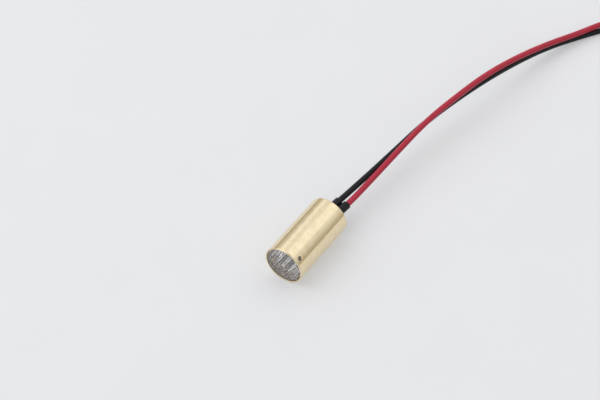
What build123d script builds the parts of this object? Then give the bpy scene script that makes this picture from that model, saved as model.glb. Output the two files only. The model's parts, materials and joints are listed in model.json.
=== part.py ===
from build123d import *
import os
from math import ceil, cos, pi, radians, sin, sqrt, tan

# A laser module in a turned brass barrel: a diode, a collimating lens and a ridged lens that spreads
# the beam into a line, with a driver board behind the diode and two leads out of the back.
# Millimetres. The origin is the centre of the front rim, the beam leaves along -Y and +Z is up.
# The barrel lies on a surface one barrel radius below its axis.

# Barrel
barrel_diameter = 9.0
barrel_length = 17.0
edge_break = 0.15
rim_wall = 0.3
front_wall = 1.0
rear_wall = 0.7
web_thickness = 0.8
glue_hole_diameter = 1.0
glue_hole_setback = 1.24
glue_hole_angle = 46.9

# Line lens: a disc with a flat front and parallel cylindrical ridges on its back
line_lens_thickness = 1.8
line_lens_recess = 0.15
line_lens_clearance = 0.12
ridge_pitch = 1.67
ridge_radius = 0.87
ridge_lean = 26.5

# Collimating lens and the cell that carries it
cell_gap = 0.35
cell_length = 2.4
cell_lip = 0.5
cell_clearance = 0.03
cell_wall = 1.05
spanner_slot_width = 0.6
spanner_slot_depth = 0.5
collimator_flange = 0.7
collimator_brim = 0.5
collimator_rise = 0.825
collimator_clearance = 0.02
lip_margin = 0.1

# Focus spring, wound of flat wire
spring_width = 0.4
spring_thickness = 0.3
spring_pitch = 0.6
spring_bore_gap = 0.35
spring_seat_gap = 0.02

# Laser diode in its can
focus_gap = 0.37
stem_diameter = 5.6
stem_thickness = 1.2
stem_clearance = 0.02
stem_notch = 0.4
stem_key_width = 1.0
post_length = 1.45
post_diameter = 3.0
cap_diameter = 3.6
cap_height = 2.3
cap_wall = 0.15
cap_flange_diameter = 4.6
cap_flange_thickness = 0.2
aperture_clearance = 0.1
window_hole = 1.6
window_diameter = 2.6
window_thickness = 0.25
submount_width = 0.8
submount_length = 0.7
submount_thickness = 0.25
chip_width = 0.3
chip_length = 0.3
chip_thickness = 0.1
photodiode_side = 0.6
photodiode_thickness = 0.2
photodiode_drop = 0.35
pin_circle = 2.0
pin_diameter = 0.45
pin_head = 0.9
pin_tail = 2.0
seal_diameter = 0.9

# Driver board and what is soldered to it
board_gap = 0.5
board_edge_gap = 0.5
board_rear_gap = 0.2
solder_film = 0.025
pin_joint_radius = 0.5
pin_joint_tip = 0.32
pin_joint_height = 0.6
pin_joint_setback = 0.9
lead_joint_radius = 0.6
lead_joint_tip = 0.4
lead_joint_height = 0.8
lead_joint_inset = 0.8
transistor_length = 1.6
transistor_width = 0.85
transistor_height = 0.75
transistor_standoff = 0.1
transistor_span = 1.65
transistor_offset = 1.0
transistor_setback = 2.35
leg_width = 0.25
leg_thickness = 0.1
leg_pitch = 0.5
resistor_length = 1.0
resistor_width = 0.5
resistor_height = 0.35
resistor_offset = 1.7
resistor_setback = 1.1
capacitor_length = 1.6
capacitor_width = 0.8
capacitor_height = 0.8
capacitor_edge_gap = 0.8
capacitor_setback = 2.3

# Leads, sleeves and the resin that holds them
lead_diameter = 1.3
lead_inset = 0.6
sleeve_diameter = 1.85
sleeve_clearance = 0.02
sleeve_overhang = 0.6
sleeve_reach = 4.6
potting_recess = 0.5
potting_thickness = 0.6
conductor_diameter = 0.5
conductor_poke = 0.05
conductor_butt_gap = 0.05
tinned_diameter = 0.6
tinned_length = 5.0
arc_share = 0.45

barrel_radius = barrel_diameter / 2
floor_height = lead_diameter / 2 - barrel_radius

# Lead routes, measured from the centre of the barrel's rear face; the last points lie on the floor
red_route = [
    (0.93, -lead_inset, -0.09),
    (1.65, 4.6, -0.03),
    (2.14, 13.0, 0.47),
    (2.92, 23.0, 1.72),
    (3.58, 33.0, 2.5),
    (5.12, 43.0, 2.59),
    (6.73, 53.0, 2.14),
    (8.85, 63.0, 0.59),
    (11.76, 73.0, -1.26),
    (15.27, 81.0, -2.39),
    (18.1, 87.2, -2.6),
    (20.3, 92.0, floor_height),
    (22.6, 96.2, floor_height),
]
black_route = [
    (-1.06, -lead_inset, -0.09),
    (-0.42, 4.6, -0.03),
    (0.46, 13.0, -0.03),
    (1.76, 23.0, 0.68),
    (2.78, 33.0, 1.1),
    (4.65, 43.0, 1.11),
    (6.8, 53.0, 0.66),
    (8.83, 63.0, -0.89),
    (11.42, 73.0, -2.74),
    (15.0, 81.0, floor_height),
    (19.99, 88.5, floor_height),
    (24.6, 94.8, floor_height),
]

# Stations along the axis and radii that the pieces share
seat_radius = barrel_radius - rim_wall
seat_back = line_lens_recess + line_lens_thickness
front_radius = barrel_radius - front_wall
rear_radius = barrel_radius - rear_wall
cell_front = seat_back + cell_gap
cell_back = cell_front + cell_length
collimator_back = cell_back - cell_lip
cell_outer = front_radius - cell_clearance
cell_pocket = cell_outer - cell_wall
collimator_edge = cell_pocket - collimator_clearance
optic_radius = collimator_edge - collimator_brim
collimator_radius = (optic_radius**2 + collimator_rise**2) / (2 * collimator_rise)
cap_front = collimator_back + collimator_rise + focus_gap
diode_face = cap_front + cap_height
web_front = diode_face - web_thickness
stem_back = diode_face + stem_thickness
aperture_radius = cap_flange_diameter / 2 + aperture_clearance
post_front = diode_face - post_length
post_face = chip_thickness / 2 + submount_thickness
pin_radius = pin_diameter / 2
pin_offset = pin_circle / 2
board_front = stem_back + board_gap
board_back = barrel_length - lead_inset - sleeve_overhang - board_rear_gap
board_under = pin_radius + solder_film
board_top = pin_offset - pin_radius - solder_film
board_width = 2 * sqrt((rear_radius - board_edge_gap) ** 2 - board_top**2)
lead_radius = lead_diameter / 2


def turned(*profile):
    """Solid of revolution about the optical axis from (radius, y) corners."""
    return revolve(make_face(Polyline(*profile, close=True)), Axis.Y)


def rod(radius, y_from, y_to, x=0.0, z=0.0):
    """Cylinder parallel to the optical axis."""
    base = Plane((x, y_from, z), x_dir=(1, 0, 0), z_dir=(0, 1, 0))
    return extrude(base * Circle(radius), y_to - y_from)


def block(x, y_from, z_from, width, length, height):
    """Box centred on x, starting at y_from and z_from."""
    return Pos(x, y_from + length / 2, z_from + height / 2) * Box(width, length, height)


def make_barrel():
    """Stepped tube: lens seat, cell bore, diode web and rear chamber, with one radial glue hole."""
    stem_seat = stem_diameter / 2 + stem_clearance
    tube = turned(
        (seat_radius, 0),
        (barrel_radius - edge_break, 0),
        (barrel_radius, edge_break),
        (barrel_radius, barrel_length - edge_break),
        (barrel_radius - edge_break, barrel_length),
        (rear_radius + edge_break, barrel_length),
        (rear_radius, barrel_length - edge_break),
        (rear_radius, stem_back),
        (stem_seat, stem_back),
        (stem_seat, diode_face),
        (aperture_radius, diode_face),
        (aperture_radius, web_front),
        (front_radius, web_front),
        (front_radius, seat_back),
        (seat_radius, seat_back),
    )
    outward = (sin(radians(glue_hole_angle)), 0, cos(radians(glue_hole_angle)))
    drill = Plane((0, glue_hole_setback, 0), x_dir=(0, 1, 0), z_dir=outward)
    return tube - extrude(drill * Circle(glue_hole_diameter / 2), barrel_diameter)


def make_line_lens():
    """Disc with a wave of convex arcs for a back; the ridges lean from upright, with a valley on the axis."""
    lens_radius = seat_radius - line_lens_clearance
    ridges = 2 * ceil(lens_radius / ridge_pitch)
    valley = seat_back - ridge_radius + sqrt(ridge_radius**2 - (ridge_pitch / 2) ** 2)
    left = -ridges * ridge_pitch / 2
    arcs = []
    for ridge in range(ridges):
        start = left + ridge * ridge_pitch
        crest = (start + ridge_pitch / 2, seat_back)
        arcs.append(ThreePointArc((start, valley), crest, (start + ridge_pitch, valley)))
    front = Polyline((-left, valley), (-left, line_lens_recess), (left, line_lens_recess), (left, valley))
    lean = radians(ridge_lean)
    section = Plane((0, 0, 0), x_dir=(cos(lean), 0, -sin(lean)), z_dir=(sin(lean), 0, cos(lean)))
    wave = extrude(section * make_face(Curve() + arcs + front), barrel_diameter, both=True)
    return rod(lens_radius, line_lens_recess, seat_back) & wave


def make_lens_cell():
    """Ring with a pocket and a rear lip for the collimating lens, slotted across its front."""
    lip = optic_radius + lip_margin
    ring = turned(
        (cell_pocket, cell_front),
        (cell_outer, cell_front),
        (cell_outer, cell_back),
        (lip, cell_back),
        (lip, collimator_back),
        (cell_pocket, collimator_back),
    )
    slot_under = -spanner_slot_width / 2
    return ring - block(0, cell_front, slot_under, barrel_diameter, spanner_slot_depth, spanner_slot_width)


def make_collimating_lens():
    """Two spherical caps on a flat flange that sits on the cell's lip."""
    half_way = optic_radius / 2
    bow = collimator_radius - sqrt(collimator_radius**2 - half_way**2)
    front = collimator_back - collimator_flange
    front_crest = front - collimator_rise
    back_crest = collimator_back + collimator_rise
    outline = Curve() + [
        Line((0, back_crest), (0, front_crest)),
        ThreePointArc((0, front_crest), (half_way, front_crest + bow), (optic_radius, front)),
        Line((optic_radius, front), (collimator_edge, front)),
        Line((collimator_edge, front), (collimator_edge, collimator_back)),
        Line((collimator_edge, collimator_back), (optic_radius, collimator_back)),
        ThreePointArc((optic_radius, collimator_back), (half_way, back_crest - bow), (0, back_crest)),
    ]
    return revolve(make_face(outline), Axis.Y)


def make_focus_spring():
    """Flat wire wound between the cell's back and the diode web."""
    coil_radius = front_radius - spring_bore_gap - spring_width / 2
    start = cell_back + spring_seat_gap + spring_thickness / 2
    rise = web_front - spring_seat_gap - spring_thickness / 2 - start
    coil = Helix(spring_pitch, rise, coil_radius, center=(0, start, 0), direction=(0, 1, 0))
    section = Plane(coil @ 0, x_dir=(coil @ 0) - Vector(0, start, 0), z_dir=coil % 0)
    return sweep(section * Rectangle(spring_width, spring_thickness), coil, is_frenet=True)


def make_diode_stem():
    """Round header with side notches, a key slot, two pin holes and the half-round heat post."""
    header = rod(stem_diameter / 2, diode_face, stem_back)
    post = rod(post_diameter / 2, post_front, diode_face)
    post &= block(0, post_front, post_face, post_diameter, post_length, post_diameter)
    stem = header + post
    for side in (-1, 1):
        turn = Pos(side * stem_diameter / 2, diode_face, 0) * Rot(0, 45, 0)
        stem -= turn * block(0, 0, -stem_notch / 2, stem_notch, stem_thickness, stem_notch)
        stem -= rod(seal_diameter / 2, diode_face, stem_back, side * pin_offset)
    key_top = stem_diameter / 2 - stem_notch
    return stem - block(0, diode_face, key_top, stem_key_width, stem_thickness, stem_notch * 2)


def make_diode_cap():
    """Thin drawn can with a welding flange and a round light opening."""
    outer = cap_diameter / 2
    return turned(
        (cap_flange_diameter / 2, diode_face),
        (cap_flange_diameter / 2, diode_face - cap_flange_thickness),
        (outer, diode_face - cap_flange_thickness),
        (outer, cap_front),
        (window_hole / 2, cap_front),
        (window_hole / 2, cap_front + cap_wall),
        (outer - cap_wall, cap_front + cap_wall),
        (outer - cap_wall, diode_face),
    )


def make_transistor(x):
    """Three-legged surface-mount transistor: two legs on one side, one on the other."""
    middle = board_front + transistor_setback
    bottom = board_top + transistor_standoff
    front = middle - transistor_length / 2
    package = block(x, front, bottom, transistor_width, transistor_length, transistor_height)
    knee_height = transistor_standoff + transistor_height / 2
    foot = (transistor_span - transistor_width) / 2
    for side, along in ((-1, -leg_pitch), (-1, leg_pitch), (1, 0)):
        leg_front = middle + along - leg_width / 2
        foot_middle = x + side * (transistor_width + foot) / 2
        riser_middle = x + side * (transistor_width + leg_thickness) / 2
        package += block(foot_middle, leg_front, board_top, foot, leg_width, leg_thickness)
        package += block(riser_middle, leg_front, board_top, leg_thickness, leg_width, knee_height)
    return package


def make_joint(size, x, y, board_face, side, wire):
    """Cone of solder on one face of the board, with the wire that it holds taken out."""
    radius, tip, height = size
    base = Plane((x, y, board_face), z_dir=(0, 0, side))
    return base * Cone(radius, tip, height, align=(Align.CENTER, Align.CENTER, Align.MIN)) - wire


def lead_points(route):
    """Route in the module's frame."""
    return [Vector(0, barrel_length, 0) + Vector(*point) for point in route]


def bend_radii(points):
    """Largest arc that each corner's two runs allow."""
    radii = []
    for before, corner, after in zip(points, points[1:], points[2:]):
        turn = radians((corner - before).get_angle(after - corner))
        shorter = min((corner - before).length, (after - corner).length)
        radii.append(arc_share * shorter / tan(turn / 2))
    return radii


def tube(path, radius):
    """Round bar along a path."""
    return sweep(Plane(path @ 0, z_dir=path % 0) * Circle(radius), path)


def make_lead(points):
    """Plain bar along straight runs joined by tangent arcs."""
    path = FilletPolyline(*points, radius=bend_radii(points))
    lead = tube(path, lead_radius)
    print("bend radii", [round(radius) for radius in bend_radii(points)])
    print("length", round(path.length, 2))
    print("volume share", lead.volume / (pi * lead_radius**2 * path.length))
    return lead


def make_sleeve(points):
    """Shrunk tube over the lead's first run, bending with it, and the bar that fills its outline."""
    start = points[0] - (points[1] - points[0]).normalized() * sleeve_overhang
    path = FilletPolyline(start, points[1], points[2], radius=bend_radii(points[:3]))
    length = barrel_length + sleeve_reach - start.Y
    reach = block(points[1].X, start.Y - sleeve_diameter, points[1].Z - barrel_diameter,
                  2 * barrel_diameter, length + sleeve_diameter, 2 * barrel_diameter)
    outline = tube(path, sleeve_diameter / 2) & reach
    return outline - tube(path, lead_radius + sleeve_clearance), outline


photodiode_under = -photodiode_drop - photodiode_side / 2
resistor_front = board_front + resistor_setback - resistor_width / 2
capacitor_front = board_front + capacitor_setback - capacitor_length / 2
capacitor_x = capacitor_edge_gap + capacitor_width / 2 - board_width / 2
pieces = {
    "barrel": make_barrel(),
    "line_lens": make_line_lens(),
    "lens_cell": make_lens_cell(),
    "collimating_lens": make_collimating_lens(),
    "focus_spring": make_focus_spring(),
    "diode_stem": make_diode_stem(),
    "diode_cap": make_diode_cap(),
    "diode_window": rod(window_diameter / 2, cap_front + cap_wall, cap_front + cap_wall + window_thickness),
    "diode_submount": block(0, post_front, chip_thickness / 2,
                            submount_width, submount_length, submount_thickness),
    "laser_chip": block(0, post_front, -chip_thickness / 2, chip_width, chip_length, chip_thickness),
    "monitor_photodiode": block(0, diode_face - photodiode_thickness, photodiode_under,
                                photodiode_side, photodiode_thickness, photodiode_side),
    "driver_board": block(0, board_front, board_under,
                          board_width, board_back - board_front, board_top - board_under),
    "drive_transistor": make_transistor(-transistor_offset),
    "sense_transistor": make_transistor(transistor_offset),
    "limit_resistor": block(-resistor_offset, resistor_front, board_top,
                            resistor_length, resistor_width, resistor_height),
    "feedback_resistor": block(resistor_offset, resistor_front, board_top,
                               resistor_length, resistor_width, resistor_height),
    "filter_capacitor": block(capacitor_x, capacitor_front, board_under - capacitor_height,
                              capacitor_width, capacitor_length, capacitor_height),
}

# Diode pins, their glass seals and their solder joints
pin_joint = (pin_joint_radius, pin_joint_tip, pin_joint_height)
pin_joint_y = board_front + pin_joint_setback
for name, side in (("laser_pin", -1), ("monitor_pin", 1)):
    pin = rod(pin_radius, diode_face - pin_head, stem_back + pin_tail, side * pin_offset)
    pieces[name] = pin
    pieces[name + "_seal"] = rod(seal_diameter / 2, diode_face, stem_back, side * pin_offset) - pin
    pieces[name + "_solder"] = make_joint(pin_joint, side * pin_offset, pin_joint_y, board_under, -1, pin)
case_pin = rod(pin_radius, stem_back, stem_back + pin_tail, 0, pin_offset)
pieces["case_pin"] = case_pin
pieces["case_pin_solder"] = make_joint(pin_joint, 0, pin_joint_y, board_top, 1, case_pin)

# Leads with their sleeves, stripped ends and board joints, and the resin round the sleeves
lead_joint = (lead_joint_radius, lead_joint_tip, lead_joint_height)
lead_joint_y = board_back - lead_joint_inset
conductor_front = lead_joint_y - lead_joint_radius - conductor_poke
potting_back = barrel_length - potting_recess
potting = rod(rear_radius, potting_back - potting_thickness, potting_back)
for colour, route in (("red", red_route), ("black", black_route)):
    points = lead_points(route)
    entry = points[0]
    tail = (points[-1] - points[-2]).normalized()
    conductor = rod(conductor_diameter / 2, conductor_front, entry.Y - conductor_butt_gap, entry.X, entry.Z)
    sleeve, outline = make_sleeve(points)
    potting -= outline
    pieces[colour + "_lead"] = make_lead(points)
    pieces[colour + "_sleeve"] = sleeve
    pieces[colour + "_conductor"] = conductor
    pieces[colour + "_solder"] = make_joint(lead_joint, entry.X, lead_joint_y, board_under, -1, conductor)
    pieces[colour + "_tinned_end"] = extrude(
        Plane(points[-1], z_dir=tail) * Circle(tinned_diameter / 2), tinned_length)
pieces["rear_potting"] = potting

os.makedirs("parts", exist_ok=True)
for name, piece in pieces.items():
    export_step(piece, f"parts/{name}.step")
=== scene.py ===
import json
import math

import bmesh
import bpy
import numpy as np
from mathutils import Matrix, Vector


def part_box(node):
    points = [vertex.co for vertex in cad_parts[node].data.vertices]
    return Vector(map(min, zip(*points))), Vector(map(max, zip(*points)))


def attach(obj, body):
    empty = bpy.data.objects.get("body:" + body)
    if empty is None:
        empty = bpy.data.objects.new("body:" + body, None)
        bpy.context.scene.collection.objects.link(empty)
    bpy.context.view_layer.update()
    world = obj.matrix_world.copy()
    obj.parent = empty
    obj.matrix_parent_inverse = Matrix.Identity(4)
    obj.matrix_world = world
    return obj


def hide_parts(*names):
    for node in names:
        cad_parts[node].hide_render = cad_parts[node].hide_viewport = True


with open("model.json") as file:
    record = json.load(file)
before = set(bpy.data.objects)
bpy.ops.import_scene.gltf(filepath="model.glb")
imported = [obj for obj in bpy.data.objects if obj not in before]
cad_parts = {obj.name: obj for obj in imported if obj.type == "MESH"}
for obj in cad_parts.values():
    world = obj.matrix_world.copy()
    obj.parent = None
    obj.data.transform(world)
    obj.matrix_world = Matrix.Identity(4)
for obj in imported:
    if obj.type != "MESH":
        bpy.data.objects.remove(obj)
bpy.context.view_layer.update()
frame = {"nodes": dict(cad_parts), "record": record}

# Metres, in the module's own frame: the beam leaves along -Y and +Z is up
MM = 0.001

# Camera: its place, the way it faces in degrees, and its lens and sensor in millimetres
CAMERA_PLACE = Vector((153.0, -219.4, 312.9)) * MM
CAMERA_AZIMUTH = 34.16
CAMERA_ELEVATION = 47.6
CAMERA_LENS = 120.0
CAMERA_SENSOR = 36.0

# Leads: the routes' points in millimetres, from inside the sleeve to the stripped end on the floor
LEAD_RADIUS = 0.65 * MM
LEAD_STEPS = 12
LEAD_BEVEL_STEPS = 8
LEAD_ROUTES = {
    "red": [
        (0.93, 16.4, -0.09), (1.65, 21.6, -0.03), (2.14, 30.0, 0.47), (2.92, 40.0, 1.72),
        (3.58, 50.0, 2.5), (5.12, 60.0, 2.59), (6.73, 70.0, 2.14), (8.85, 80.0, 0.59),
        (11.76, 90.0, -1.26), (15.27, 98.0, -2.39), (18.1, 104.2, -2.6), (20.3, 109.0, -3.85),
        (22.6, 113.2, -3.85),
    ],
    "black": [
        (-1.06, 16.4, -0.09), (-0.42, 21.6, -0.03), (0.46, 30.0, -0.03), (1.76, 40.0, 0.68),
        (2.78, 50.0, 1.1), (4.65, 60.0, 1.11), (6.8, 70.0, 0.66), (8.83, 80.0, -0.89),
        (11.42, 90.0, -2.74), (15.0, 98.0, -3.85), (19.99, 105.5, -3.85), (24.6, 111.8, -3.85),
    ],
}

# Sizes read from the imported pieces
barrel_low, barrel_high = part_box("barrel")
lens_low, lens_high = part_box("line_lens")
resin_low, resin_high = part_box("rear_potting")
cell_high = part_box("lens_cell")[1]
cap_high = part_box("diode_cap")[1]
stem_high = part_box("diode_stem")[1]
spring_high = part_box("focus_spring")[1]
barrel_radius = barrel_high.z
barrel_length = barrel_high.y
rear_bore = resin_high.z
floor_level = barrel_low.z

# Barrel's inside and its edges; the hold is a narrow strip beside an edge that keeps the wall's shading flat
RIM_WALL = 0.3 * MM
CELL_GAP = 0.03 * MM
STEM_GAP = 0.02 * MM
CAP_GAP = 0.1 * MM
SPRING_GAP = 0.02 * MM
OUTER_EDGE = 0.16 * MM
RIM_EDGE = 0.05 * MM
INNER_EDGE = 0.012 * MM
EDGE_HOLD = 0.02 * MM
EDGE_STEPS = 5
BARREL_COLUMNS = 256
lens_seat = barrel_radius - RIM_WALL

# Glue hole in the barrel's side, bevelled outside and narrowed by its taper where it comes out in the lens
# seat; the window is the part of that seat's grid that gives way to it, and reaches a little in front of it
HOLE_RADIUS = 0.5 * MM
HOLE_SETBACK = 1.24 * MM
HOLE_ANGLE = math.radians(46.9)
HOLE_BEVEL = 0.12 * MM
HOLE_TAPER = 0.03 * MM
HOLE_HOLD = 0.04 * MM
HOLE_MARGIN_CELLS = 8
SEAT_WINDOW_REACH = 0.6 * MM

# Line lens
RIDGE_PITCH = 1.67 * MM
RIDGE_RADIUS = 0.87 * MM
RIDGE_LEAN = math.radians(26.5)
RIDGE_STEPS = 25
RIDGE_ROWS = 33

# Sleeves: the rim's lean is how far the rim of the leaning sleeve reaches past its middle
SLEEVE_RADIUS = 0.925 * MM
SLEEVE_GAP = 0.02 * MM
SLEEVE_LIP = 0.1 * MM
SLEEVE_FOOT = 0.2 * MM
SLEEVE_RIM_LEAN = 0.1 * MM
SLEEVE_BORE_EDGE = 0.03 * MM
SLEEVE_BORE_HOLD = 0.05 * MM
SLEEVE_WAVE = 0.018 * MM
SLEEVE_WAVE_RATE = 1.7 / MM
SLEEVE_PHASES = {"red": 0.4, "black": 2.1}
SLEEVE_WALL_ROWS = 60
SLEEVE_LIP_ROWS = 6
SLEEVE_BORE_ROWS = 12
SLEEVE_COLUMNS = 48
TANGENT_STEP = 0.05 * MM

# Tinned ends: one straight strand and six laid round it, with ends that don't quite line up
TINNED_LENGTH = 5.0 * MM
STRANDS = 7
STRAND_RADIUS = 0.102 * MM
STRAND_OFFSET = 0.195 * MM
STRAND_LAY = 7.0 * MM
STRAND_ROOT = 0.4 * MM
STRAND_STAGGER = 0.12 * MM
STRAND_TIP = 0.12 * MM
STRAND_ROWS = 61
STRAND_COLUMNS = 10

# Resin that closes the back
RESIN_DIP = 0.1 * MM
WALL_CLIMB = 0.22 * MM
WALL_CLIMB_REACH = 0.3 * MM
SLEEVE_CLIMB = 0.16 * MM
SLEEVE_CLIMB_REACH = 0.25 * MM
RESIN_RIPPLE = 0.02 * MM
RIPPLE_RATES = 1.3 / MM, 1.1 / MM
RIPPLE_PHASES = 0.4, 1.2
RESIN_ROWS = 49
RESIN_COLUMNS = 128

# Finishes: the part of a noise's range that is used, how much finer the fine grain is, and how far inside
# a lens's edge the frost starts and is full
NOISE_MIDDLE = 0.3, 0.7
FINE_GRAIN = 6
LENS_HAZE = 0.0, 0.02
EDGE_FROST = 0.7
FROST_START = 0.02 * MM
FROST_FULL = 0.01 * MM
BRASS_TONES = (0.835, 0.695, 0.44), (0.91, 0.785, 0.545)
BRASS_ROUGH = 0.09, 0.2
TURNING_DEPTH = 0.0025 * MM
PLAIN_FINISHES = {
    "spring_steel": dict(
        tones=((0.5, 0.5, 0.51), (0.6, 0.6, 0.61)), rough=(0.2, 0.35), grains=2000, depth=0.001 * MM,
        metal=1.0),
    "gold_plate": dict(
        tones=((0.85, 0.65, 0.28), (0.92, 0.74, 0.36)), rough=(0.2, 0.32), grains=1500, depth=0.001 * MM,
        metal=1.0),
    "nickel_plate": dict(
        tones=((0.76, 0.75, 0.73), (0.84, 0.83, 0.81)), rough=(0.3, 0.45), grains=1500, depth=0.001 * MM,
        metal=1.0),
    "solder": dict(
        tones=((0.6, 0.6, 0.6), (0.72, 0.72, 0.72)), rough=(0.2, 0.45), grains=2500, depth=0.004 * MM,
        metal=1.0),
    "tinned_copper": dict(
        tones=((0.6, 0.58, 0.55), (0.74, 0.72, 0.69)), rough=(0.2, 0.42), grains=2500, depth=0.003 * MM,
        metal=1.0),
    "semiconductor": dict(
        tones=((0.16, 0.16, 0.19), (0.24, 0.24, 0.27)), rough=(0.1, 0.25), grains=6000, depth=0.0005 * MM,
        metal=0.6),
    "white_ceramic": dict(
        tones=((0.78, 0.78, 0.75), (0.86, 0.86, 0.84)), rough=(0.4, 0.6), grains=4000, depth=0.003 * MM),
    "tan_ceramic": dict(
        tones=((0.52, 0.41, 0.28), (0.62, 0.5, 0.36)), rough=(0.4, 0.6), grains=4000, depth=0.003 * MM),
    "board_laminate": dict(
        tones=((0.03, 0.2, 0.1), (0.05, 0.28, 0.14)), rough=(0.3, 0.5), grains=2500, depth=0.004 * MM),
    "black_mould": dict(
        tones=((0.02, 0.02, 0.02), (0.04, 0.04, 0.042)), rough=(0.45, 0.65), grains=5000, depth=0.004 * MM),
    "black_resin": dict(
        tones=((0.012, 0.012, 0.012), (0.03, 0.03, 0.03)), rough=(0.22, 0.45), grains=700, depth=0.01 * MM),
    "shrink_sleeve": dict(
        tones=((0.003, 0.0035, 0.006), (0.007, 0.008, 0.012)), rough=(0.26, 0.42), grains=1100,
        depth=0.008 * MM, gloss=0.3),
    "red_insulation": dict(
        tones=((0.45, 0.018, 0.045), (0.53, 0.024, 0.058)), rough=(0.28, 0.44), grains=500,
        depth=0.003 * MM, stretch=(2.0, 0.4, 2.0), gloss=0.35),
    "black_insulation": dict(
        tones=((0.004, 0.0045, 0.006), (0.008, 0.0088, 0.011)), rough=(0.28, 0.44), grains=500,
        depth=0.003 * MM, stretch=(2.0, 0.4, 2.0), gloss=0.25),
}

# Floor, in metres
FLOOR_RADIUS = 6.0
FLOOR_ROWS = 17
FLOOR_COLUMNS = 96
FLOOR_TONES = (0.555, 0.558, 0.566), (0.565, 0.568, 0.576)
FLOOR_GLOW = 0.293, 0.297, 0.305

# Light tent: tones by the sine of the height above the horizon, and the strength from its front to its back
TENT_TONES = [
    (0.0, (0.42, 0.36, 0.27)),
    (0.14, (0.52, 0.48, 0.41)),
    (0.29, (0.61, 0.585, 0.55)),
    (0.47, (0.78, 0.775, 0.77)),
    (0.7, (0.87, 0.875, 0.885)),
    (0.84, (0.93, 0.94, 0.955)),
    (0.92, (0.36, 0.365, 0.375)),
    (1.0, (0.28, 0.285, 0.295)),
]
TENT_FRONT_TO_BACK = -0.5, 0.35
TENT_STRENGTH = 0.75, 1.0

# Softboxes: place, width and length in metres, and power in watts
SOFTBOXES = {
    "overhead": dict(place=(0.110, 0.307, 0.443), width=0.36, length=0.4, watts=0.085),
    "strip": dict(place=(-0.305, 0.307, 0.339), width=0.075, length=0.4, watts=0.02),
    "key": dict(place=(-0.46, -0.14, 0.76), width=1.1, length=1.1, watts=3.6),
}


def full_turn(columns):
    """Angles that share a full turn equally."""
    return np.arange(columns) * 2 * math.pi / columns


def grid_quads(rows, columns, wrap_rows=False, wrap_columns=False):
    """Corner numbers of a grid's quads, its points counted row by row; a wrapped side joins its ends."""
    row = np.arange(rows if wrap_rows else rows - 1)[:, None]
    column = np.arange(columns if wrap_columns else columns - 1)[None, :]
    next_row = (row + 1) % rows
    next_column = (column + 1) % columns
    corners = np.broadcast_arrays(
        row * columns + column,
        row * columns + next_column,
        next_row * columns + next_column,
        next_row * columns + column,
    )
    return np.stack(corners, axis=-1).reshape(-1, 4)


def add_piece(name, points, quads, slot, replaced, sharp=None):
    """Closed mesh at the origin from arrays of points and quads; points that no quad uses are dropped,
    poles are merged, faces turned outwards, and edges steeper than sharp degrees shaded as edges."""
    used, quads = np.unique(quads, return_inverse=True)
    points = points.reshape(-1, 3)[used]
    mesh = bpy.data.meshes.new(name)
    mesh.from_pydata(points.tolist(), [], quads.reshape(-1, 4).tolist())
    body = bmesh.new()
    body.from_mesh(mesh)
    bmesh.ops.remove_doubles(body, verts=body.verts, dist=1e-8)
    bmesh.ops.recalc_face_normals(body, faces=body.faces)
    body.to_mesh(mesh)
    body.free()
    mesh.polygons.foreach_set("use_smooth", np.ones(len(mesh.polygons), bool))
    if sharp is not None:
        mesh.set_sharp_from_angle(angle=math.radians(sharp))
    piece = bpy.data.objects.new(name, mesh)
    bpy.context.scene.collection.objects.link(piece)
    mesh.materials.append(finishes[slot])
    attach(piece, "root")
    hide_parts(replaced)
    return piece


def new_finish(name):
    """Empty node material and its principled shader."""
    material = bpy.data.materials.new(name)
    material.use_nodes = True
    tree = material.node_tree
    return material, tree, tree.nodes["Principled BSDF"]


def noise(tree, scale, detail=3.0, stretch=(1.0, 1.0, 1.0)):
    """Noise over object coordinates, scale in grains per metre, stretched along the axes."""
    place = tree.nodes.new("ShaderNodeTexCoord")
    mapping = tree.nodes.new("ShaderNodeMapping")
    texture = tree.nodes.new("ShaderNodeTexNoise")
    mapping.inputs["Scale"].default_value = stretch
    texture.inputs["Scale"].default_value = scale
    texture.inputs["Detail"].default_value = detail
    tree.links.new(place.outputs["Object"], mapping.inputs["Vector"])
    tree.links.new(mapping.outputs["Vector"], texture.inputs["Vector"])
    return texture.outputs[0]


def spread(tree, source, measured, wanted):
    """A value carried from its measured range, low to high, to a wanted one, and held at the ends."""
    carry = tree.nodes.new("ShaderNodeMapRange")
    for socket, value in zip(("From Min", "From Max", "To Min", "To Max"), (*measured, *wanted)):
        carry.inputs[socket].default_value = value
    tree.links.new(source, carry.inputs["Value"])
    return carry.outputs["Result"]


def larger_of(tree, first, second):
    """The larger of two values."""
    larger = tree.nodes.new("ShaderNodeMath")
    larger.operation = "MAXIMUM"
    tree.links.new(first, larger.inputs[0])
    tree.links.new(second, larger.inputs[1])
    return larger.outputs["Value"]


def tone_ramp(tree, source, stops):
    """Colour that runs through stops of a value and its tone."""
    ramp = tree.nodes.new("ShaderNodeValToRGB")
    elements = ramp.color_ramp.elements
    first, *between, last = stops
    for element, (value, tone) in zip(elements, (first, last)):
        element.position = value
        element.color = (*tone, 1.0)
    for value, tone in between:
        elements.new(value).color = (*tone, 1.0)
    tree.links.new(source, ramp.inputs["Fac"])
    return ramp.outputs["Color"]


def relief(tree, shader, height, depth):
    """Bump of a given depth in metres."""
    bump = tree.nodes.new("ShaderNodeBump")
    bump.inputs["Strength"].default_value = 1.0
    bump.inputs["Distance"].default_value = depth
    tree.links.new(height, bump.inputs["Height"])
    tree.links.new(bump.outputs["Normal"], shader.inputs["Normal"])


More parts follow.
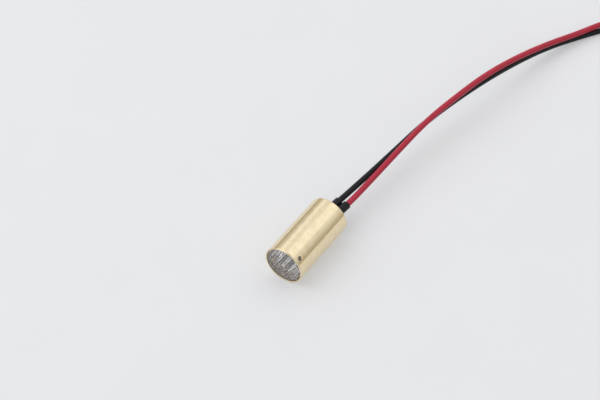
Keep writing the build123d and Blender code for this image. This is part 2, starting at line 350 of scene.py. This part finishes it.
def plain_finish(name, tones, rough, grains, depth, metal=0.0, stretch=(1.0, 1.0, 1.0), gloss=0.5):
    """Opaque finish: two close tones, a range of roughness and a fine relief, all from noise."""
    material, tree, shader = new_finish(name)
    shader.inputs["Metallic"].default_value = metal
    shader.inputs["Specular IOR Level"].default_value = gloss
    coarse = noise(tree, grains, stretch=stretch)
    fine = noise(tree, grains * FINE_GRAIN, detail=4.0, stretch=stretch)
    tree.links.new(tone_ramp(tree, coarse, zip(NOISE_MIDDLE, tones)), shader.inputs["Base Color"])
    tree.links.new(spread(tree, fine, NOISE_MIDDLE, rough), shader.inputs["Roughness"])
    relief(tree, shader, fine, depth)
    return material


def turned_brass(name):
    """Polished brass with fine turning rings, which change along the axis far faster than round it, faint
    tarnish and handling marks."""
    material, tree, shader = new_finish(name)
    shader.inputs["Metallic"].default_value = 1.0
    rings = noise(tree, scale=1.0, detail=5.0, stretch=(30.0, 9000.0, 30.0))
    tarnish = noise(tree, scale=700.0, detail=7.0)
    marks = noise(tree, scale=420.0, detail=5.0, stretch=(1.0, 2.5, 1.0))
    tree.links.new(tone_ramp(tree, tarnish, zip(NOISE_MIDDLE, BRASS_TONES)), shader.inputs["Base Color"])
    tree.links.new(spread(tree, marks, NOISE_MIDDLE, BRASS_ROUGH), shader.inputs["Roughness"])
    relief(tree, shader, rings, TURNING_DEPTH)
    return material


def frost_past(tree, radius):
    """Roughness that steps up from nothing where the surface comes to a radius from the Y axis."""
    place = tree.nodes.new("ShaderNodeTexCoord")
    across = tree.nodes.new("ShaderNodeVectorMath")
    across.operation = "MULTIPLY"
    across.inputs[1].default_value = (1.0, 0.0, 1.0)
    away = tree.nodes.new("ShaderNodeVectorMath")
    away.operation = "LENGTH"
    tree.links.new(place.outputs["Object"], across.inputs[0])
    tree.links.new(across.outputs["Vector"], away.inputs[0])
    edge = radius - FROST_START, radius - FROST_FULL
    return spread(tree, away.outputs["Value"], edge, (0.0, EDGE_FROST))


def clear_lens(name, tint, refraction, clear=1.0, edge=None):
    """Clear glass or acrylic with a trace of moulding haze; clear is the share of it that lets light pass,
    and a lens with its edge's radius given has a frosted edge."""
    material, tree, shader = new_finish(name)
    shader.inputs["Base Color"].default_value = (*tint, 1.0)
    shader.inputs["Transmission Weight"].default_value = clear
    shader.inputs["IOR"].default_value = refraction
    rough = spread(tree, noise(tree, scale=900.0), NOISE_MIDDLE, LENS_HAZE)
    if edge is not None:
        rough = larger_of(tree, frost_past(tree, edge), rough)
    tree.links.new(rough, shader.inputs["Roughness"])
    return material


finishes = {name: plain_finish(name, **look) for name, look in PLAIN_FINISHES.items()}
finishes["brass"] = turned_brass("brass")
finishes["lens_glass"] = clear_lens("lens_glass", tint=(0.94, 0.97, 0.97), refraction=1.6)
finishes["clear_acrylic"] = clear_lens(
    "clear_acrylic", tint=(0.98, 0.955, 0.97), refraction=1.49, clear=0.88, edge=lens_high.z)


def add_camera():
    """Camera at its place, turned to an azimuth and an elevation with no roll."""
    azimuth = math.radians(CAMERA_AZIMUTH)
    elevation = math.radians(CAMERA_ELEVATION)
    back = Vector((
        math.sin(azimuth) * math.cos(elevation),
        -math.cos(azimuth) * math.cos(elevation),
        math.sin(elevation),
    ))
    camera = bpy.data.objects.new("camera", bpy.data.cameras.new("camera"))
    camera.data.lens = CAMERA_LENS
    camera.data.sensor_width = CAMERA_SENSOR
    camera.location = CAMERA_PLACE
    camera.rotation_mode = "QUATERNION"
    camera.rotation_quaternion = (-back).to_track_quat("-Z", "Y")
    bpy.context.scene.collection.objects.link(camera)
    bpy.context.scene.camera = camera


def add_lead(name, route, slot, node):
    """Insulated lead: a round bevel on a spline that has the route's points as its control points.
    Returns the piece and its centreline as an array of points."""
    curve = bpy.data.curves.new(name, "CURVE")
    curve.dimensions = "3D"
    spline = curve.splines.new("NURBS")
    spline.points.add(len(route) - 1)
    controls = np.hstack([np.array(route) * MM, np.ones((len(route), 1))])
    spline.points.foreach_set("co", controls.ravel())
    spline.order_u = 3
    spline.use_endpoint_u = True
    curve.resolution_u = LEAD_STEPS
    lead = bpy.data.objects.new(name, curve)
    bpy.context.scene.collection.objects.link(lead)
    bpy.context.view_layer.update()
    line = bpy.data.meshes.new_from_object(lead)
    centre = np.zeros(len(line.vertices) * 3)
    line.vertices.foreach_get("co", centre)
    bpy.data.meshes.remove(line)
    curve.bevel_depth = LEAD_RADIUS
    curve.bevel_resolution = LEAD_BEVEL_STEPS
    curve.use_fill_caps = True
    curve.materials.append(finishes[slot])
    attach(lead, "root")
    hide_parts(node)
    return lead, centre.reshape(-1, 3)


def round_corners(corners, reach):
    """Closed profile with each corner replaced by a quadratic curve between the points one reach away on its
    two runs, and a hold point a little further out, which keeps the runs' shading flat."""
    before = np.roll(corners, 1, axis=0) - corners
    after = np.roll(corners, -1, axis=0) - corners
    before /= np.linalg.norm(before, axis=1, keepdims=True)
    after /= np.linalg.norm(after, axis=1, keepdims=True)
    reach = reach[:, None]
    k = np.linspace(0, 1, EDGE_STEPS)[None, :, None]
    start = (corners + before * reach)[:, None]
    end = (corners + after * reach)[:, None]
    curve = (1 - k) ** 2 * start + 2 * k * (1 - k) * corners[:, None] + k**2 * end
    hold_in = (corners + before * (reach + EDGE_HOLD))[:, None]
    hold_out = (corners + after * (reach + EDGE_HOLD))[:, None]
    return np.concatenate([hold_in, curve, hold_out], axis=1)


def barrel_profile():
    """Closed outline (radius, y) of the barrel's wall, with rows of its own on the two walls that the glue
    hole goes through; returns it with the first row of each of those walls' windows."""
    front_bore = cell_high.z + CELL_GAP
    aperture = cap_high.z + CAP_GAP
    stem_seat = stem_high.x + STEM_GAP
    web_front = spring_high.y + SPRING_GAP
    seat_back = lens_high.y
    corners = np.array([
        (barrel_radius, 0.0, OUTER_EDGE),
        (barrel_radius, barrel_length, OUTER_EDGE),
        (rear_bore, barrel_length, OUTER_EDGE),
        (rear_bore, stem_high.y, INNER_EDGE),
        (stem_seat, stem_high.y, INNER_EDGE),
        (stem_seat, cap_high.y, INNER_EDGE),
        (aperture, cap_high.y, INNER_EDGE),
        (aperture, web_front, INNER_EDGE),
        (front_bore, web_front, INNER_EDGE),
        (front_bore, seat_back, INNER_EDGE),
        (lens_seat, seat_back, INNER_EDGE),
        (lens_seat, 0.0, RIM_EDGE),
    ])
    rounded = round_corners(corners[:, :2], corners[:, 2])
    front_edge, inside, rim_edge = rounded[0], rounded[1:-1].reshape(-1, 2), rounded[-1]
    cell = 2 * math.pi * barrel_radius / BARREL_COLUMNS
    outer_rows = HOLE_SETBACK + cell * np.arange(-HOLE_MARGIN_CELLS, HOLE_MARGIN_CELLS + 1)
    seat_hold = seat_back - INNER_EDGE - EDGE_HOLD
    seat_rows = np.linspace(seat_hold, HOLE_SETBACK - SEAT_WINDOW_REACH, len(outer_rows))[1:]
    outer_wall = np.column_stack([np.full(len(outer_rows), barrel_radius), outer_rows])
    seat_wall = np.column_stack([np.full(len(seat_rows), lens_seat), seat_rows])
    profile = np.concatenate([front_edge, outer_wall, inside, seat_wall, rim_edge])
    outer_start = len(front_edge)
    seat_start = outer_start + len(outer_wall) + len(inside) - 1
    return profile, outer_start, seat_start


def window_loop(first_row, rows, columns):
    """Point numbers round a window of the barrel's grid, as wide and as high in cells as rows."""
    half = rows // 2
    side = np.arange(rows)
    row = np.concatenate([0 * side, side, 0 * side + rows, rows - side])
    column = np.concatenate([side - half, 0 * side + half, half - side, 0 * side - half])
    return (first_row + row) * columns + column % columns


def align_loop(points, first, second):
    """The second loop of point numbers, turned round until it starts beside the first one's start."""
    gap = np.linalg.norm(points[second] - points[first[0]], axis=1)
    return np.roll(second, -int(gap.argmin()))


def hole_rings(border, wall, rings):
    """Rings between a window's border and the drilled hole, unrolled to (arc length, y): each ring, given as
    its share, depth and growth, lies at the hole's radius plus the growth plus the share of the way on to
    the border, and at the depth below the wall."""
    share, depth, growth = rings.T[:, :, None]
    arc = (np.arctan2(border[:, 0], border[:, 2]) - HOLE_ANGLE) * wall
    away = np.column_stack([arc, border[:, 1] - HOLE_SETBACK])
    reach = np.linalg.norm(away, axis=1)
    direction = away / reach[:, None]
    edge = HOLE_RADIUS + growth
    ring = edge + (reach[None] - edge) * share
    angle = HOLE_ANGLE + ring * direction[None, :, 0] / wall
    y = HOLE_SETBACK + ring * direction[None, :, 1]
    radius = wall - depth
    return np.stack([radius * np.sin(angle), y, radius * np.cos(angle)], axis=-1)


def add_barrel():
    """Lathe surface: each profile point (radius, y) at angle a is (radius sin a, y, radius cos a), with the
    first column on the glue hole. A square window is left out of the outer wall and of the lens seat's wall,
    and rings that run from one window's edge to a circle, in along the drilled wall, and out again to the
    other window's edge close it."""
    profile, outer_start, seat_start = barrel_profile()
    rows, columns = len(profile), BARREL_COLUMNS
    angle = HOLE_ANGLE + full_turn(columns)
    radius, y = profile[:, :1], profile[:, 1:]
    lathe = np.stack(np.broadcast_arrays(radius * np.sin(angle), y, radius * np.cos(angle)), axis=-1)
    lathe = lathe.reshape(-1, 3)
    cells = 2 * HOLE_MARGIN_CELLS
    quads = grid_quads(rows, columns, wrap_rows=True, wrap_columns=True)
    row, column = quads[:, 0] // columns, quads[:, 0] % columns
    near = (column + HOLE_MARGIN_CELLS) % columns < cells
    in_outer = (row >= outer_start) & (row < outer_start + cells)
    in_seat = (row >= seat_start) & (row < seat_start + cells)
    quads = quads[~(near & (in_outer | in_seat))]

    outer_loop = window_loop(outer_start, cells, columns)
    seat_loop = align_loop(lathe, outer_loop, window_loop(seat_start, cells, columns)[::-1])
    # Each ring's share, depth and growth, from the outside in
    bevelled = np.array([
        (0.66, 0.0, HOLE_BEVEL),
        (0.33, 0.0, HOLE_BEVEL),
        (0.06, 0.0, HOLE_BEVEL),
        (0.0, 0.25 * HOLE_BEVEL, 0.3 * HOLE_BEVEL),
        (0.0, HOLE_BEVEL, 0.0),
    ])
    tapered = np.array([
        (0.0, -HOLE_HOLD, -HOLE_TAPER),
        (0.0, 0.0, -HOLE_TAPER),
        (0.5, 0.0, -HOLE_TAPER),
    ])
    rings = np.concatenate([
        hole_rings(lathe[outer_loop], barrel_radius, bevelled),
        hole_rings(lathe[seat_loop], lens_seat, tapered),
    ])
    numbers = len(lathe) + np.arange(rings.shape[0] * rings.shape[1]).reshape(rings.shape[:2])
    numbers = np.concatenate([outer_loop[None], numbers, seat_loop[None]])
    tube = grid_quads(*numbers.shape, wrap_columns=True)
    points = np.concatenate([lathe, rings.reshape(-1, 3)])
    add_piece(
        "barrel_body", points, np.concatenate([quads, numbers.ravel()[tube]]), "brass", "barrel", sharp=50)


def ridge_sag(across):
    """Depth of the lens's back below its crests: a row of circular arcs one pitch apart, with a valley on
    the axis."""
    from_crest = across % RIDGE_PITCH - RIDGE_PITCH / 2
    return RIDGE_RADIUS - np.sqrt(RIDGE_RADIUS**2 - from_crest**2)


def add_line_lens():
    """Ridged disc: at each distance u across the ridges a closed strip runs along the ridge over the flat
    front and back over the ridge's crest line, between the ends of the disc's chord, the root of
    R^2 - u^2."""
    radius = lens_high.z
    whole_ridges = int(radius // RIDGE_PITCH)
    valleys = RIDGE_PITCH * np.arange(-whole_ridges, whole_ridges + 1)
    share = np.linspace(0, 1, RIDGE_STEPS)
    between_valleys = (valleys[:-1, None] + RIDGE_PITCH * share).ravel()
    outside = valleys[-1] + (radius - valleys[-1]) * np.sin(share * math.pi / 2)
    across = np.unique(np.concatenate([-outside, between_valleys, outside]).round(12))
    along = np.linspace(-1, 1, RIDGE_ROWS)
    half = np.sqrt(np.maximum(radius**2 - across**2, 0.0))[:, None]
    back = lens_high.y - ridge_sag(across)
    y = np.concatenate([
        np.full((len(across), len(along)), lens_low.y),
        np.repeat(back[:, None], len(along), axis=1),
    ], axis=1)
    v = half * np.concatenate([along, along[::-1]])[None]
    u = np.repeat(across[:, None], v.shape[1], axis=1)
    x = u * math.cos(RIDGE_LEAN) + v * math.sin(RIDGE_LEAN)
    z = v * math.cos(RIDGE_LEAN) - u * math.sin(RIDGE_LEAN)
    points = np.stack([x, y, z], axis=-1)
    quads = grid_quads(points.shape[0], points.shape[1], wrap_columns=True)
    add_piece("ridged_lens", points, quads, "clear_acrylic", "line_lens", sharp=30)


def path_lengths(path):
    """Length from a polyline's start to each of its points."""
    runs = np.linalg.norm(np.diff(path, axis=0), axis=1)
    return np.concatenate([[0.0], np.cumsum(runs)])


def along_path(path, station):
    """Points of a polyline at given lengths from its start."""
    length = path_lengths(path)
    return np.column_stack([np.interp(station, length, path[:, axis]) for axis in range(3)])


def round_the_path(path, station, radius, columns):
    """Rings about a path: at each station a circle of its radius, square to the path; radius may vary
    round it."""
    tangent = along_path(path, station + TANGENT_STEP) - along_path(path, station - TANGENT_STEP)
    tangent /= np.linalg.norm(tangent, axis=1, keepdims=True)
    side = np.cross(tangent, (0.0, 0.0, 1.0))
    side /= np.linalg.norm(side, axis=1, keepdims=True)
    top = np.cross(side, tangent)
    angle = full_turn(columns)
    radius = np.broadcast_to(radius, (len(station), columns))[..., None]
    spoke = np.cos(angle)[None, :, None] * side[:, None] + np.sin(angle)[None, :, None] * top[:, None]
    return along_path(path, station)[:, None] + radius * spoke


def add_sleeve(name, node, centre, phase):
    """Shrunk tube: a closed profile of outer wall, rounded lip and bore carried along the lead. The outer
    wall's radius swells by a sum of two sines round it times a sine along it."""
    low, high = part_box(node)
    inwards = centre[0] - centre[1]
    inwards /= np.linalg.norm(inwards)
    start = centre[0] + inwards * (centre[0][1] - low.y) / abs(inwards[1])
    path = np.vstack([start, centre])
    end = np.interp(high.y - SLEEVE_RIM_LEAN, path[:, 1], path_lengths(path))
    bore = LEAD_RADIUS + SLEEVE_GAP
    turn = np.linspace(0, math.pi / 2, SLEEVE_LIP_ROWS)[1:]
    wall_station = np.linspace(SLEEVE_FOOT, end - SLEEVE_LIP, SLEEVE_WALL_ROWS)
    lip_station = end - SLEEVE_LIP + SLEEVE_LIP * np.sin(turn)
    bore_station = np.linspace(end - SLEEVE_BORE_HOLD, 0.0, SLEEVE_BORE_ROWS)
    station = np.concatenate([wall_station, lip_station, [end], bore_station])
    radius = np.concatenate([
        np.full(SLEEVE_WALL_ROWS, SLEEVE_RADIUS),
        SLEEVE_RADIUS - SLEEVE_LIP + SLEEVE_LIP * np.cos(turn),
        [bore + SLEEVE_BORE_EDGE],
        np.full(SLEEVE_BORE_ROWS, bore),
    ])
    angle = full_turn(SLEEVE_COLUMNS)
    wave = np.sin(3 * angle + phase) * 0.6 + np.sin(2 * angle - 2 * phase) * 0.4
    along = np.sin(station[:, None] * SLEEVE_WAVE_RATE + phase + wave[None])
    is_outer = (radius > bore + SLEEVE_BORE_EDGE)[:, None]
    swell = is_outer * SLEEVE_WAVE * along * wave[None]
    rings = round_the_path(path, station, radius[:, None] + swell, SLEEVE_COLUMNS)
    quads = grid_quads(len(station), SLEEVE_COLUMNS, wrap_rows=True, wrap_columns=True)
    add_piece(name, rings, quads, "shrink_sleeve", node, sharp=60)


def add_tinned_end(name, node, centre):
    """Seven tinned strands laid as one round the end of the lead's line: strand k follows a helix of its own
    start angle, the first runs straight, and each narrows to nothing at both ends as a half circle does."""
    tangent = centre[-1] - centre[-2]
    tangent /= np.linalg.norm(tangent)
    side = np.cross(tangent, (0.0, 0.0, 1.0))
    top = np.cross(side, tangent)
    strand = np.arange(STRANDS)[:, None]
    length = TINNED_LENGTH - STRAND_STAGGER * (strand % 3)
    station = np.linspace(0, 1, STRAND_ROWS)[None] * (length + STRAND_ROOT) - STRAND_ROOT
    turn = strand * 2 * math.pi / (STRANDS - 1) + station * 2 * math.pi / STRAND_LAY
    offset = np.where(strand == 0, 0.0, STRAND_OFFSET)
    line = (
        centre[-1] + station[..., None] * tangent
        + (offset * np.cos(turn))[..., None] * side
        + (offset * np.sin(turn))[..., None] * top)
    from_end = np.minimum(station + STRAND_ROOT, length - station)
    to_tip = 1 - np.minimum(from_end / STRAND_TIP, 1)
    radius = STRAND_RADIUS * np.sqrt(np.clip(1 - to_tip**2, 0, 1))
    angle = full_turn(STRAND_COLUMNS)
    spoke = np.cos(angle)[:, None] * side + np.sin(angle)[:, None] * top
    rings = line[:, :, None] + radius[..., None, None] * spoke
    one_strand = grid_quads(STRAND_ROWS, STRAND_COLUMNS, wrap_columns=True)
    quads = one_strand[None] + strand[:, :, None] * STRAND_ROWS * STRAND_COLUMNS
    return add_piece(name, rings, quads.reshape(-1, 4), "tinned_copper", node)


def add_resin(centres):
    """Cured resin: a disc whose rear surface climbs the bore's wall and the two sleeves, each by a height
    that falls off exponentially with the distance from them, and ripples by a product of two sines."""
    ring = np.sin(np.linspace(0, math.pi / 2, RESIN_ROWS))[:, None] * rear_bore
    angle = full_turn(RESIN_COLUMNS)[None]
    x, z = ring * np.sin(angle), ring * np.cos(angle)
    climb = WALL_CLIMB * np.exp((np.hypot(x, z) - rear_bore) / WALL_CLIMB_REACH)
    for centre in centres:
        from_sleeve = np.abs(np.hypot(x - centre[0][0], z - centre[0][2]) - SLEEVE_RADIUS)
        climb += SLEEVE_CLIMB * np.exp(-from_sleeve / SLEEVE_CLIMB_REACH)
    waves = [np.sin(way * rate + phase) for way, rate, phase in zip((x, z), RIPPLE_RATES, RIPPLE_PHASES)]
    ripple = RESIN_RIPPLE * waves[0] * waves[1]
    rear = np.stack([x, resin_high.y - RESIN_DIP + climb + ripple, z], axis=-1)
    front = np.stack([x, np.full(x.shape, resin_low.y), z], axis=-1)[::-1]
    points = np.concatenate([rear, front])
    quads = grid_quads(len(points), RESIN_COLUMNS, wrap_columns=True)
    add_piece("resin_plug", points, quads, "black_resin", "rear_potting", sharp=60)


def dress_nodes():
    """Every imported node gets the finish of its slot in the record."""
    for part in frame["record"]["subparts"]:
        node = frame["nodes"][part["node"]]
        node.data.materials.clear()
        node.data.materials.append(finishes[part["material_slot"]])


def floor_finish():
    """Matt pale finish with a glow that the camera, gloss and glass see and that lights nothing matt."""
    material, tree, shader = new_finish("pale_floor")
    grain = noise(tree, scale=60.0, detail=2.0)
    tree.links.new(tone_ramp(tree, grain, zip(NOISE_MIDDLE, FLOOR_TONES)), shader.inputs["Base Color"])
    shader.inputs["Roughness"].default_value = 0.7
    shader.inputs["Specular IOR Level"].default_value = 0.2
    shader.inputs["Emission Color"].default_value = (*FLOOR_GLOW, 1.0)
    ray = tree.nodes.new("ShaderNodeLightPath").outputs
    seen = larger_of(tree, ray["Is Camera Ray"], ray["Is Glossy Ray"])
    seen = larger_of(tree, seen, ray["Is Transmission Ray"])
    tree.links.new(seen, shader.inputs["Emission Strength"])
    return material


def add_floor():
    """Pale floor: a disc whose points lie at each ring's radius times the cosine and sine of each angle."""
    ring = np.linspace(0, FLOOR_RADIUS, FLOOR_ROWS)[:, None]
    angle = full_turn(FLOOR_COLUMNS)[None]
    x, y = ring * np.cos(angle), ring * np.sin(angle)
    points = np.stack([x, y, np.full(x.shape, floor_level)], axis=-1)
    quads = grid_quads(FLOOR_ROWS, FLOOR_COLUMNS, wrap_columns=True)
    mesh = bpy.data.meshes.new("floor")
    mesh.from_pydata(points.reshape(-1, 3).tolist(), [], quads.tolist())
    mesh.materials.append(floor_finish())
    floor = bpy.data.objects.new("floor", mesh)
    bpy.context.scene.collection.objects.link(floor)


def add_world():
    """Light tent: its tone follows the height above the horizon, a little warm where it is low, and its
    strength grows from front to back."""
    world = bpy.data.worlds.new("tent")
    world.use_nodes = True
    tree = world.node_tree
    background = tree.nodes["Background"]
    place = tree.nodes.new("ShaderNodeTexCoord")
    way = tree.nodes.new("ShaderNodeSeparateXYZ")
    tree.links.new(place.outputs["Generated"], way.inputs["Vector"])
    tree.links.new(tone_ramp(tree, way.outputs["Z"], TENT_TONES), background.inputs["Color"])
    strength = spread(tree, way.outputs["Y"], TENT_FRONT_TO_BACK, TENT_STRENGTH)
    tree.links.new(strength, background.inputs["Strength"])
    bpy.context.scene.world = world


def add_softbox(name, place, width, length, watts):
    """Area lamp at a place in metres, facing the barrel's middle."""
    lamp = bpy.data.lights.new(name, "AREA")
    lamp.shape = "RECTANGLE"
    lamp.size = width
    lamp.size_y = length
    lamp.energy = watts
    box = bpy.data.objects.new(name, lamp)
    box.location = place
    aim = Vector((0.0, barrel_length / 2, 0.0)) - Vector(place)
    box.rotation_mode = "QUATERNION"
    box.rotation_quaternion = aim.to_track_quat("-Z", "Y")
    bpy.context.scene.collection.objects.link(box)


add_camera()
centres = []
for colour, route in LEAD_ROUTES.items():
    lead, centre = add_lead(f"{colour}_wire", route, f"{colour}_insulation", f"{colour}_lead")
    add_sleeve(f"{colour}_shrink_tube", f"{colour}_sleeve", centre, SLEEVE_PHASES[colour])
    strands = add_tinned_end(f"{colour}_strands", f"{colour}_tinned_end", centre)
    centres.append(centre)
dress_nodes()
add_barrel()
add_line_lens()
add_resin(centres)
add_floor()
add_world()
for name, box in SOFTBOXES.items():
    add_softbox(name, **box)

bpy.context.scene.view_settings.view_transform = "Standard"
